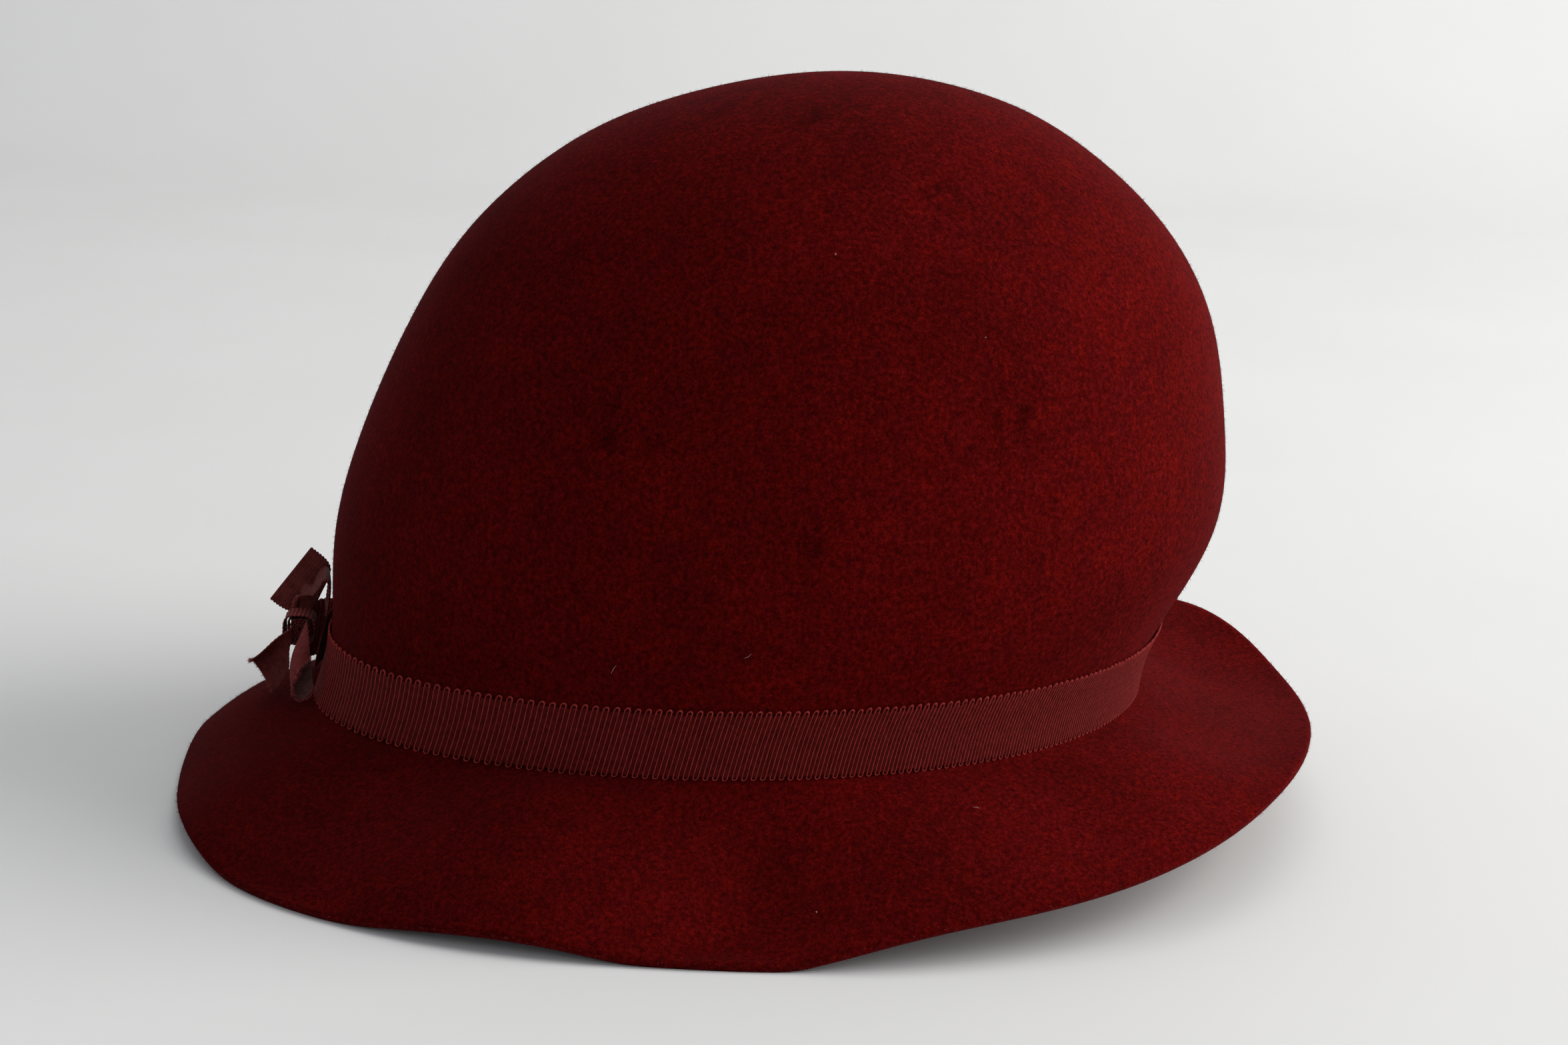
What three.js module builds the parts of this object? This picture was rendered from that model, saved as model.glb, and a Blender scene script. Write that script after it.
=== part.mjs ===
// Cloche hat: one shell of velour felt, a ribbed ribbon round the foot of its crown
// and a small bow of the same ribbon at the front.
// Millimetres, +Z up. -Y is the wearer's front, +X is the wearer's left.
// The hat rests on the plane Z = 0 on the low parts of its wavy brim.

import * as THREE from 'three';

// Driving dimensions
const FELT_THICKNESS = 2;
const RIBBON_THICKNESS = 0.8;
const RIBBON_WIDTH = 14.5;
const FIT_GAP = 0.3;
const FOOT_HEIGHT = 26.9;
const BACK_RISE = Math.tan(THREE.MathUtils.degToRad(3.1));
const SADDLE_DROP = 2.5;
const SADDLE_SPAN = 97;
const SADDLE_FADE = 78;
const EGG_SHAPE = 0.095;
const PRESS_EASE = 0.8;
const BAND_LOW_STEP = 0.03;
const BAND_HIGH_STEP = 1;
const KNOT = { x: -2.2, y: -103.4, z: 32.9, width: 6.8, halfDepth: 3.8, halfHeight: 3.7 };
const KNOT_FLARE = 0.25;
const KNOT_SQUARENESS = 0.6;

// Mesh fineness
const TURNS = 72;
const BAND_ROWS = 3;
const KNOT_TURNS = 24;
const STRIP_LENGTHS = 14;
const STRIP_WIDTHS = 8;
const CROWN_STEPS = [7.7, 7.3, 6.8, 6.3, 5.8, 5.3, 4.8, 4.3, 3.8, 3.3, 2.8, 2.3, 1.8, 1.4, 1, 0.7, 0.4, 0.15];
const BRIM_STEPS = [0, 0.12, 0.26, 0.42, 0.58, 0.74, 0.88, 0.95, 1];

// Crown sections from the foot to the tip, each an oval across the hat.
// rise is above the foot, centre is toward the back.
const crownSections = [
  { rise: 0, centre: -2.3, halfLength: 96.5, halfWidth: 86.7 },
  { rise: RIBBON_WIDTH, centre: 1.4, halfLength: 96.9, halfWidth: 87.7 },
  { rise: 36.7, centre: 7.5, halfLength: 102.4, halfWidth: 90.3 },
  { rise: 60, centre: 10.8, halfLength: 99.8, halfWidth: 88.5 },
  { rise: 83.2, centre: 13.4, halfLength: 92.5, halfWidth: 82.4 },
  { rise: 104.4, centre: 13.8, halfLength: 79.9, halfWidth: 71.4 },
  { rise: 121.8, centre: 13.9, halfLength: 60.8, halfWidth: 54.5 },
  { rise: 133.6, centre: 15.4, halfLength: 36.8, halfWidth: 33.1 },
  { rise: 139.6, centre: 17.2, halfLength: 0, halfWidth: 0 },
];
const CROWN_TOP = crownSections.length - 1;

// Brim sections round the hat, in degrees from the wearer's left toward the back.
// reach is outward from the crown's foot, edge is the raw edge above the table
// (below zero where the felt is pressed flat), bulge raises the middle of the brim.
const brimSections = [
  { turn: 0, reach: 41.2, edge: -1.5, bulge: -2.5 },
  { turn: 15, reach: 40.7, edge: 5.6, bulge: -0.5 },
  { turn: 30, reach: 41.3, edge: 10.5, bulge: 0.8 },
  { turn: 45, reach: 42.3, edge: 15.3, bulge: 1 },
  { turn: 60, reach: 41, edge: 19.2, bulge: -1.5 },
  { turn: 75, reach: 40.5, edge: 20.6, bulge: -3.5 },
  { turn: 90, reach: 42.3, edge: 18.9, bulge: -4.5 },
  { turn: 105, reach: 47, edge: 18.7, bulge: -4.5 },
  { turn: 120, reach: 49.6, edge: 23.5, bulge: -4 },
  { turn: 135, reach: 44.2, edge: 18, bulge: -2 },
  { turn: 150, reach: 38.9, edge: 4.5, bulge: 0.5 },
  { turn: 165, reach: 37.2, edge: -2.6, bulge: 1.5 },
  { turn: 180, reach: 37.5, edge: -0.4, bulge: 2 },
  { turn: 195, reach: 39, edge: 3.8, bulge: 2 },
  { turn: 210, reach: 39.4, edge: 2.8, bulge: 1 },
  { turn: 225, reach: 38.4, edge: 0.6, bulge: 1 },
  { turn: 240, reach: 36.8, edge: -2.6, bulge: 2 },
  { turn: 255, reach: 33.4, edge: 0.2, bulge: 3.5 },
  { turn: 270, reach: 30.8, edge: 0.4, bulge: 4 },
  { turn: 285, reach: 33.6, edge: 1.3, bulge: 3 },
  { turn: 300, reach: 42, edge: 2.2, bulge: 1.5 },
  { turn: 315, reach: 47.5, edge: -1.3, bulge: 2 },
  { turn: 330, reach: 46.8, edge: 1.1, bulge: 4.5 },
  { turn: 345, reach: 44.1, edge: 2, bulge: 1.5 },
];

// Bow loops and tails: middle line, direction across the ribbon, half its width
// and how far it is curled across, in degrees.
const bowUpperLoop = [
  { x: -4.6, y: -105.2, z: 32.9, ax: 0, ay: -0.1, az: 1, half: 1.8, curl: -10 },
  { x: -8.6, y: -105.7, z: 34.6, ax: 0.1, ay: -0.1, az: 1, half: 2.3, curl: -10 },
  { x: -6.8, y: -103.1, z: 40.3, ax: 0.93, ay: 0.2, az: 0.05, half: 4.4, curl: -14 },
  { x: -4.2, y: -100.8, z: 41.9, ax: 0.95, ay: 0.16, az: 0.1, half: 6.3, curl: -14 },
  { x: -4, y: -99.5, z: 43.6, ax: 0.95, ay: 0.14, az: 0.06, half: 7, curl: -8 },
  { x: -4, y: -98.2, z: 45.5, ax: 0.97, ay: 0.1, az: 0.02, half: 7, curl: -8 },
  { x: -4, y: -96.8, z: 44.7, ax: 0.97, ay: 0.1, az: 0, half: 7, curl: -8 },
  { x: -4.2, y: -96.8, z: 40.4, ax: 0.97, ay: 0.1, az: 0, half: 7, curl: -8 },
  { x: -4.6, y: -97.4, z: 36.4, ax: 0.97, ay: 0.1, az: 0, half: 6.4, curl: -8 },
];
const bowUpperTail = [
  { x: -4.6, y: -101.7, z: 32.9, ax: 0, ay: 0.1, az: 1, half: 2, curl: 10 },
  { x: -8.4, y: -101.5, z: 33.8, ax: 0, ay: 0.2, az: 1, half: 2.6, curl: 10 },
  { x: -12.2, y: -100.6, z: 37, ax: 0, ay: 0.5, az: 0.87, half: 5, curl: 6 },
  { x: -12.8, y: -101.8, z: 39.4, ax: 0, ay: 0.6, az: 0.8, half: 7.4, curl: 4 },
  { x: -12.8, y: -104.3, z: 41.3, ax: 0, ay: 0.6, az: 0.8, half: 8.2, curl: 2 },
  { x: -12.8, y: -106.8, z: 43.2, ax: 0, ay: 0.6, az: 0.8, half: 8.2, curl: 2 },
];
const bowFarLoop = [
  { x: -4.6, y: -103.5, z: 32.9, ax: 0, ay: 0, az: 1, half: 2, curl: 10 },
  { x: -6.8, y: -103.5, z: 32.6, ax: 0, ay: 0, az: 1, half: 2, curl: 10 },
  { x: -10, y: -103.3, z: 29.2, ax: 0.2, ay: 0, az: 1, half: 3.6, curl: 10 },
  { x: -14.5, y: -104, z: 26.6, ax: 0, ay: 0, az: 1, half: 5.6, curl: 8 },
  { x: -19.4, y: -101.6, z: 27.8, ax: 0, ay: 0.1, az: 1, half: 7.2, curl: 8 },
  { x: -19.4, y: -97.9, z: 28, ax: 0, ay: 0.24, az: 1, half: 7.2, curl: 8 },
  { x: -14, y: -98.4, z: 28, ax: 0, ay: 0.24, az: 1, half: 7.2, curl: 8 },
  { x: -7, y: -99.1, z: 28, ax: 0, ay: 0.22, az: 1, half: 6.6, curl: 6 },
];
const bowNearTail = [
  { x: 0.2, y: -101.7, z: 32.9, ax: 0, ay: 0.1, az: 1, half: 2, curl: 10 },
  { x: 3.4, y: -102, z: 33, ax: 0.2, ay: 0.1, az: 1, half: 2.6, curl: 60 },
  { x: 7.5, y: -103, z: 31, ax: 0.5, ay: 0, az: 0.85, half: 4.6, curl: 200 },
  { x: 12.4, y: -103.9, z: 27.4, ax: 0.65, ay: 0, az: 0.75, half: 6.4, curl: 270 },
  { x: 18.6, y: -102.8, z: 22.2, ax: 0.65, ay: 0, az: 0.75, half: 6.9, curl: 285 },
];
const bowFarTail = [
  { x: 0.2, y: -104.9, z: 32.2, ax: 0, ay: -0.1, az: 1, half: 1.8, curl: 10 },
  { x: 2.6, y: -105.6, z: 31.6, ax: 0.1, ay: -0.1, az: 1, half: 1.9, curl: 40 },
  { x: 3.4, y: -108, z: 27.9, ax: 0.4, ay: -0.5, az: 0.7, half: 4.8, curl: 90 },
  { x: 1.2, y: -110.4, z: 24.9, ax: 0.47, ay: -0.48, az: 0.74, half: 6.8, curl: 125 },
  { x: 0.6, y: -113, z: 23.6, ax: 0.47, ay: -0.44, az: 0.76, half: 7.2, curl: 130 },
];
const NEAR_TAIL_SLANT = 1.3;
const FAR_TAIL_SLANT = 0.3;
const SLANT_TIP = -0.35;

// Finishes
const feltLook = new THREE.MeshStandardMaterial({ color: 0x5c0f14, roughness: 0.95, metalness: 0 });
const ribbonLook = new THREE.MeshStandardMaterial({ color: 0x5a2224, roughness: 0.7, metalness: 0 });

// A smooth curve through values at even steps, straight at both ends.
function smoothCurve(values) {
  const count = values.length;
  const bend = new Array(count).fill(0);
  const scale = new Array(count).fill(0);
  for (let i = 1; i < count - 1; i += 1) {
    const pull = 6 * (values[i + 1] - 2 * values[i] + values[i - 1]);
    const pivot = 4 - scale[i - 1];
    scale[i] = 1 / pivot;
    bend[i] = (pull - bend[i - 1]) / pivot;
  }
  for (let i = count - 2; i > 0; i -= 1) bend[i] -= scale[i] * bend[i + 1];
  return (step) => {
    const i = Math.min(Math.max(Math.floor(step), 0), count - 2);
    const after = step - i;
    const before = 1 - after;
    const line = values[i] * before + values[i + 1] * after;
    const curveBefore = (before ** 3 - before) * bend[i];
    const curveAfter = (after ** 3 - after) * bend[i + 1];
    return line + (curveBefore + curveAfter) / 6;
  };
}

// A crown column as a curve that passes level through the tip.
function crownCurve(column, mirror) {
  const values = crownSections.map((section) => section[column]);
  const beyond = values.slice(-4, -1).reverse().map((value) => value * mirror);
  return smoothCurve(values.concat(beyond));
}

// A brim column as a curve that closes on itself round the hat.
function brimCurve(column) {
  const values = brimSections.map((section) => section[column]);
  const curve = smoothCurve([...values, ...values, ...values]);
  const degreesApart = 360 / values.length;
  return (turn) => curve(values.length + THREE.MathUtils.radToDeg(turn) / degreesApart);
}

const crown = {
  rise: crownCurve('rise', 1),
  centre: crownCurve('centre', 1),
  halfLength: crownCurve('halfLength', -1),
  halfWidth: crownCurve('halfWidth', -1),
};
const brim = {
  reach: brimCurve('reach'),
  edge: brimCurve('edge'),
  bulge: brimCurve('bulge'),
};

// A point of the crown's outer face, step 0 at the foot and CROWN_TOP at the tip.
function crownPoint(step, turn) {
  const egg = 1 + EGG_SHAPE * (1 - step / CROWN_TOP) * Math.sin(turn);
  const x = crown.halfWidth(step) * Math.cos(turn) * egg;
  const y = crown.centre(step) + crown.halfLength(step) * Math.sin(turn);
  const rise = crown.rise(step);
  const fade = Math.max(0, 1 - rise / SADDLE_FADE);
  const saddle = SADDLE_DROP * (y / SADDLE_SPAN) ** 2 * fade;
  return new THREE.Vector3(x, y, FOOT_HEIGHT + rise + BACK_RISE * y - saddle);
}

// A point of the brim's upper face, along 0 at the crown's foot and 1 at the raw edge.
function brimPoint(along, turn) {
  const nearby = 0.01;
  const foot = crownPoint(0, turn);
  const tangent = crownPoint(0, turn + nearby).sub(crownPoint(0, turn - nearby));
  const outward = new THREE.Vector3(tangent.y, -tangent.x, 0).normalize();
  const slope = Math.atan2(foot.z - brim.edge(turn), brim.reach(turn));
  const edgeTop = brim.edge(turn) + FELT_THICKNESS * Math.cos(slope);
  const point = foot.clone().addScaledVector(outward, brim.reach(turn) * along);
  point.z = THREE.MathUtils.lerp(foot.z, edgeTop, along);
  point.z += brim.bulge(turn) * 4 * along * (1 - along);
  return point;
}

// One mesh from points and triangles.
function solid(name, points, triangles, look) {
  const geometry = new THREE.BufferGeometry();
  const positions = points.flatMap((point) => point.toArray());
  geometry.setAttribute('position', new THREE.Float32BufferAttribute(positions, 3));
  geometry.setIndex(triangles.flat());
  geometry.computeVertexNormals();
  const mesh = new THREE.Mesh(geometry, look);
  mesh.name = name;
  return mesh;
}

// Two triangles for the quad a, b, c, d.
function quad(a, b, c, d) {
  return [[a, b, c], [a, c, d]];
}

// Triangles between rings of points, where each ring closes on itself.
function ringTriangles(ringCount, ringSize, closed) {
  const triangles = [];
  const last = closed ? ringCount : ringCount - 1;
  for (let i = 0; i < last; i += 1) {
    const next = (i + 1) % ringCount;
    for (let k = 0; k < ringSize; k += 1) {
      const beside = (k + 1) % ringSize;
      const [here, there] = [i * ringSize, next * ringSize];
      triangles.push(...quad(here + k, there + k, there + beside, here + beside));
    }
  }
  return triangles;
}

// How far felt at a height is lifted where the table presses it flat, eased at the rim of the flat.
function pressLift(height) {
  if (height <= -PRESS_EASE) return -height;
  if (height >= PRESS_EASE) return 0;
  return (height + PRESS_EASE) ** 2 / (4 * PRESS_EASE) - height;
}

// The felt: outer face from the tip to the raw edge, then back up inside.
function makeFeltHood() {
  const outer = [];
  for (const step of CROWN_STEPS) {
    outer.push((turn) => crownPoint(step, turn));
  }
  for (const along of BRIM_STEPS) {
    outer.push((turn) => brimPoint(along, turn));
  }
  const outerRings = outer.map((pointAt) => {
    return Array.from({ length: TURNS }, (_, k) => pointAt((k / TURNS) * 2 * Math.PI));
  });
  const tip = crownPoint(CROWN_TOP, 0);
  const innerRings = outerRings.map((ring) => ring.map(() => null));
  for (let i = 0; i < outerRings.length; i += 1) {
    for (let k = 0; k < TURNS; k += 1) {
      const above = i > 0 ? outerRings[i - 1][k] : tip;
      const below = outerRings[Math.min(i + 1, outerRings.length - 1)][k];
      const before = outerRings[i][(k + TURNS - 1) % TURNS];
      const after = outerRings[i][(k + 1) % TURNS];
      const down = below.clone().sub(above);
      const round = after.clone().sub(before);
      const outward = down.cross(round).normalize();
      innerRings[i][k] = outerRings[i][k].clone().addScaledVector(outward, -FELT_THICKNESS);
    }
  }
  for (let i = 0; i < outerRings.length; i += 1) {
    for (let k = 0; k < TURNS; k += 1) {
      const lift = pressLift(innerRings[i][k].z);
      innerRings[i][k].z += lift;
      outerRings[i][k].z += lift;
    }
  }
  const rings = [...outerRings, ...innerRings.toReversed()];
  const points = rings.flat();
  const triangles = ringTriangles(rings.length, TURNS, false);
  const outerTip = points.length;
  const innerTip = points.length + 1;
  const lastRing = (rings.length - 1) * TURNS;
  points.push(tip, tip.clone().add(new THREE.Vector3(0, 0, -FELT_THICKNESS)));
  for (let k = 0; k < TURNS; k += 1) {
    const beside = (k + 1) % TURNS;
    triangles.push([outerTip, k, beside]);
    triangles.push([innerTip, lastRing + beside, lastRing + k]);
  }
  return solid('felt_hood', points, triangles, feltLook);
}

// The outward direction of the crown's face.
function crownOutward(step, turn) {
  const nearby = 0.02;
  const up = crownPoint(step + nearby, turn).sub(crownPoint(step - nearby, turn));
  const round = crownPoint(step, turn + nearby).sub(crownPoint(step, turn - nearby));
  return round.cross(up).normalize();
}

// The ribbon round the foot of the crown, just clear of the felt.
function makeBand() {
  const points = [];
  for (let k = 0; k < TURNS; k += 1) {
    const turn = (k / TURNS) * 2 * Math.PI;
    const outer = [];
    const inner = [];
    for (let i = 0; i <= BAND_ROWS; i += 1) {
      const step = THREE.MathUtils.lerp(BAND_LOW_STEP, BAND_HIGH_STEP, i / BAND_ROWS);
      const outward = crownOutward(step, turn);
      inner.push(crownPoint(step, turn).addScaledVector(outward, FIT_GAP));
      outer.push(crownPoint(step, turn).addScaledVector(outward, FIT_GAP + RIBBON_THICKNESS));
    }
    points.push(...outer, ...inner.toReversed());
  }
  const ringSize = 2 * (BAND_ROWS + 1);
  const triangles = ringTriangles(TURNS, ringSize, true);
  return solid('petersham_band', points, triangles, ribbonLook);
}

// The knot: a flat loop of ribbon wrapped round the roots of the tails, open at both sides.
function makeKnot() {
  const points = [];
  for (let k = 0; k < KNOT_TURNS; k += 1) {
    const turn = (k / KNOT_TURNS) * 2 * Math.PI;
    const outer = [];
    const inner = [];
    for (const side of [-1, 0, 1]) {
      const flare = side === 0 ? 0 : KNOT_FLARE;
      const x = KNOT.x + (side * KNOT.width) / 2;
      const depth = Math.sign(Math.cos(turn)) * Math.abs(Math.cos(turn)) ** KNOT_SQUARENESS;
      const height = Math.sign(Math.sin(turn)) * Math.abs(Math.sin(turn)) ** KNOT_SQUARENESS;
      const y = KNOT.y + (KNOT.halfDepth + flare) * depth;
      const z = KNOT.z + (KNOT.halfHeight + flare) * height;
      outer.push(new THREE.Vector3(x, y, z));
      const innerY = KNOT.y + (KNOT.halfDepth + flare - RIBBON_THICKNESS) * depth;
      const innerZ = KNOT.z + (KNOT.halfHeight + flare - RIBBON_THICKNESS) * height;
      inner.push(new THREE.Vector3(x, innerY, innerZ));
    }
    points.push(...outer, ...inner.toReversed());
  }
  const ringSize = 6;
  const triangles = ringTriangles(KNOT_TURNS, ringSize, true);
  return solid('bow_knot', points, triangles, ribbonLook);
}

// A strip of ribbon along its table of rows, curled across its width.
// slant is how many rows sooner the upper edge is cut than the cut end's tip.
function makeStrip(name, rows, slant) {
  const curves = {};
  for (const column of Object.keys(rows[0])) {
    curves[column] = smoothCurve(rows.map((row) => row[column]));
  }
  const centreAt = (step) => new THREE.Vector3(curves.x(step), curves.y(step), curves.z(step));
  const points = [];
  for (let i = 0; i <= STRIP_LENGTHS; i += 1) {
    const share = i / STRIP_LENGTHS;
    const upper = [];
    const lower = [];
    for (let k = 0; k <= STRIP_WIDTHS; k += 1) {
      const side = (2 * k) / STRIP_WIDTHS - 1;
      const cutBack = slant * ((side - SLANT_TIP) / (1 - SLANT_TIP)) ** 2 * share ** 2;
      const step = share * (rows.length - 1) - cutBack;
      const nearby = 0.01;
      const along = centreAt(step + nearby).sub(centreAt(step - nearby)).normalize();
      const across = new THREE.Vector3(curves.ax(step), curves.ay(step), curves.az(step));
      across.normalize();
      const face = along.clone().cross(across).normalize();
      const curl = THREE.MathUtils.degToRad(curves.curl(step));
      const radius = (2 * curves.half(step)) / curl;
      const turn = (side * curl) / 2;
      const outward = face.clone().multiplyScalar(Math.cos(turn)).addScaledVector(across, Math.sin(turn));
      const point = centreAt(step).addScaledVector(face, -radius).addScaledVector(outward, radius);
      upper.push(point.clone().addScaledVector(outward, RIBBON_THICKNESS / 2));
      lower.push(point.clone().addScaledVector(outward, -RIBBON_THICKNESS / 2));
    }
    points.push(...upper, ...lower.toReversed());
  }
  const ringSize = 2 * (STRIP_WIDTHS + 1);
  const triangles = ringTriangles(STRIP_LENGTHS + 1, ringSize, false);
  const lastRing = STRIP_LENGTHS * ringSize;
  for (let k = 0; k < STRIP_WIDTHS; k += 1) {
    const opposite = ringSize - 1 - k;
    triangles.push(...quad(k, k + 1, opposite - 1, opposite));
    triangles.push(...quad(lastRing + k, lastRing + opposite, lastRing + opposite - 1, lastRing + k + 1));
  }
  return solid(name, points, triangles, ribbonLook);
}

const hat = new THREE.Group();
const feltHood = makeFeltHood();
hat.add(feltHood);
hat.add(makeBand());
hat.add(makeKnot());
hat.add(makeStrip('bow_upper_loop', bowUpperLoop, 0));
hat.add(makeStrip('bow_upper_tail', bowUpperTail, 0));
hat.add(makeStrip('bow_far_loop', bowFarLoop, 0));
hat.add(makeStrip('bow_near_tail', bowNearTail, NEAR_TAIL_SLANT));
hat.add(makeStrip('bow_far_tail', bowFarTail, FAR_TAIL_SLANT));

// The origin is under the middle of the brim's outline.
const brimBox = new THREE.Box3().setFromBufferAttribute(feltHood.geometry.getAttribute('position'));
const middle = brimBox.getCenter(new THREE.Vector3());
hat.position.set(-middle.x, -middle.y, 0);

export default hat;
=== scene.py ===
# The looks of the cloche hat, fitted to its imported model.
# Tables are in millimetres and degrees, as in the part's source; Blender's units are metres.
import math

import bpy
import numpy as np
from mathutils import Matrix, Vector


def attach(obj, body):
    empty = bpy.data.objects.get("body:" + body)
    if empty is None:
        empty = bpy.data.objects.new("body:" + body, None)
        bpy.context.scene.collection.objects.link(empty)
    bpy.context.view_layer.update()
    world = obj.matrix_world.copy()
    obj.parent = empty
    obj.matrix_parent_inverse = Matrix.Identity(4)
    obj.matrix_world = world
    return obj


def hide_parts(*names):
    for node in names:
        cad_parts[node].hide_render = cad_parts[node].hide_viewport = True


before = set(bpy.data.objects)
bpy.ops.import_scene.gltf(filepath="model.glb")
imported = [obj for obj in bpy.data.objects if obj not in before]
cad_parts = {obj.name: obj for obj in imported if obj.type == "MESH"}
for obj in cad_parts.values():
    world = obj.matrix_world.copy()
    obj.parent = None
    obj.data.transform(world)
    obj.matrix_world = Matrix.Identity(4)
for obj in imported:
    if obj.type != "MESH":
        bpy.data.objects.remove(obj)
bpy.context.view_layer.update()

MM = 0.001
random = np.random.default_rng(57)

# Camera, fitted to the photo's outline, its target in the same place as the tables
CAMERA_TARGET = np.array((0, 9.74, 61.9))
CAMERA_DISTANCE = 705.9 * MM
CAMERA_ELEVATION = math.radians(13.245)
CAMERA_TURN = math.radians(-3.52)
CAMERA_ROLL = math.radians(2.4)
CAMERA_LENS = 68.88

# Driving dimensions, the same as in the part's source
FELT_THICKNESS = 2.0
FOOT_HEIGHT = 26.9
BACK_RISE = math.tan(math.radians(3.1))
SADDLE_DROP = 2.5
SADDLE_SPAN = 97.0
SADDLE_FADE = 78.0
EGG_SHAPE = 0.095
PRESS_EASE = 0.8
RIBBON_WIDTH = 14.5
BAND_LOW_STEP = 0.03
BAND_HIGH_STEP = 1.0
KNOT_PLACE = (-2.2, -103.4, 32.9)

CROWN_COLUMNS = ("rise", "centre", "half_length", "half_width")
CROWN_SECTIONS = [
    (0, -2.3, 96.5, 86.7),
    (RIBBON_WIDTH, 1.4, 96.9, 87.7),
    (36.7, 7.5, 102.4, 90.3),
    (60, 10.8, 99.8, 88.5),
    (83.2, 13.4, 92.5, 82.4),
    (104.4, 13.8, 79.9, 71.4),
    (121.8, 13.9, 60.8, 54.5),
    (133.6, 15.4, 36.8, 33.1),
    (139.6, 17.2, 0, 0),
]
CROWN_TOP = len(CROWN_SECTIONS) - 1

BRIM_COLUMNS = ("turn", "reach", "edge", "bulge")
BRIM_SECTIONS = [
    (0, 41.2, -1.5, -2.5),
    (15, 40.7, 5.6, -0.5),
    (30, 41.3, 10.5, 0.8),
    (45, 42.3, 15.3, 1),
    (60, 41, 19.2, -1.5),
    (75, 40.5, 20.6, -3.5),
    (90, 42.3, 18.9, -4.5),
    (105, 47, 18.7, -4.5),
    (120, 49.6, 23.5, -4),
    (135, 44.2, 18, -2),
    (150, 38.9, 4.5, 0.5),
    (165, 37.2, -2.6, 1.5),
    (180, 37.5, -0.4, 2),
    (195, 39, 3.8, 2),
    (210, 39.4, 2.8, 1),
    (225, 38.4, 0.6, 1),
    (240, 36.8, -2.6, 2),
    (255, 33.4, 0.2, 3.5),
    (270, 30.8, 0.4, 4),
    (285, 33.6, 1.3, 3),
    (300, 42, 2.2, 1.5),
    (315, 47.5, -1.3, 2),
    (330, 46.8, 1.1, 4.5),
    (345, 44.1, 2, 1.5),
]

# Soft folds of the brim: where they run, how wide they are round the hat and how high they stand
FOLD_COLUMNS = ("turn", "spread", "height")
BRIM_FOLDS = [
    (1, 4.5, -1.7),
    (-9, 6, 1.3),
    (-20, 5, 0.5),
    (-38, 9, -1.6),
    (-60, 9, 1.2),
    (20, 8, 0.8),
    (38, 7, -1.3),
    (58, 8, 1.5),
]

# Shallow dents of the crown: place, spread in turn and in step, depth
DENT_COLUMNS = ("turn", "step", "turn_spread", "step_spread", "depth")
CROWN_DENTS = [
    (28, 5.9, 13, 0.45, 0.9),
    (48, 5.2, 16, 0.5, 0.6),
    (-45, 4.4, 24, 0.8, 0.7),
    (5, 2.6, 26, 0.7, 0.6),
    (170, 4.6, 30, 0.9, 0.8),
]

# The petersham: a flat sheet with ribs, and the weft that turns back in loops at both edges
SHEET_HALF = 0.16
RIB_SWELL = 0.1
YARN_HALF_WIDTH = 0.17
YARN_HALF_HEIGHT = 0.3
LOOP_REACH = 0.55
RIB_PITCH_FINE = 0.82
RIB_PITCH_WIDE = 1.68
WIDE_TURN = math.radians(-75)
BAND_MID_HEIGHT = 0.6

# Patches where the nap is brushed the other way and looks darker: x, y, z and radius.
# The first two are where the photo has them, the other four are made up.
NAP_PATCHES = [
    (34, 15, 161, 15),
    (54, 37, 148, 8),
    (20, -10, 165, 18),
    (72, -28, 96, 13),
    (84, 8, 78, 10),
    (76, 52, 104, 12),
]

# Lint caught in the nap: on the crown or the brim, place up or out, turn, length, heading,
# waviness and half width. The last two are made up, the others are where the photo has them.
LINT = [
    ("brim", 0.86, -2.5, 2.6, 70, 0.9, 0.08),
    ("brim", 0.87, -1.5, 1.8, 150, 1.2, 0.07),
    ("brim", 0.33, 26.5, 1.6, 20, 0.5, 0.06),
    ("brim", 0.72, 8, 0.5, 60, 0.2, 0.14),
    ("crown", 1.38, -20, 2.4, 100, 0.8, 0.06),
    ("crown", 1.58, -4.5, 1.9, 40, 1.0, 0.06),
    ("crown", 5.16, 0, 0.5, 80, 0.2, 0.16),
    ("crown", 4.34, 20.5, 0.4, 10, 0.2, 0.13),
    ("crown", 3.4, 190, 2.2, 30, 0.8, 0.06),
    ("crown", 2.6, 110, 1.8, 75, 0.9, 0.06),
]

# How many fibres lie on the felt and stand along its raw edge
NAP_FIBRES = 70000
EDGE_FIBRES = 5000


def smooth_curve(values):
    """A natural cubic curve through values at even steps."""
    values = np.asarray(values, float)
    count = len(values)
    system = np.eye(count)
    pull = np.zeros(count)
    for i in range(1, count - 1):
        system[i, i - 1 : i + 2] = (1, 4, 1)
        pull[i] = 6 * (values[i + 1] - 2 * values[i] + values[i - 1])
    bend = np.linalg.solve(system, pull)

    def curve(step):
        i = np.clip(np.floor(step).astype(int), 0, count - 2)
        after = step - i
        before = 1 - after
        line = values[i] * before + values[i + 1] * after
        return line + ((before**3 - before) * bend[i] + (after**3 - after) * bend[i + 1]) / 6

    return curve


def table(columns, rows):
    """The named columns of a table."""
    return dict(zip(columns, np.array(rows, float).T))


def crown_curve(column, mirror):
    """A crown column as a curve that passes level through the tip."""
    values = crown_table[column]
    return smooth_curve(np.concatenate([values, values[-4:-1][::-1] * mirror]))


def brim_curve(column):
    """A brim column as a curve that closes on itself round the hat."""
    values = brim_table[column]
    curve = smooth_curve(np.tile(values, 3))
    return lambda turn: curve(len(values) + np.degrees(turn) / (360 / len(values)))


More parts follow.
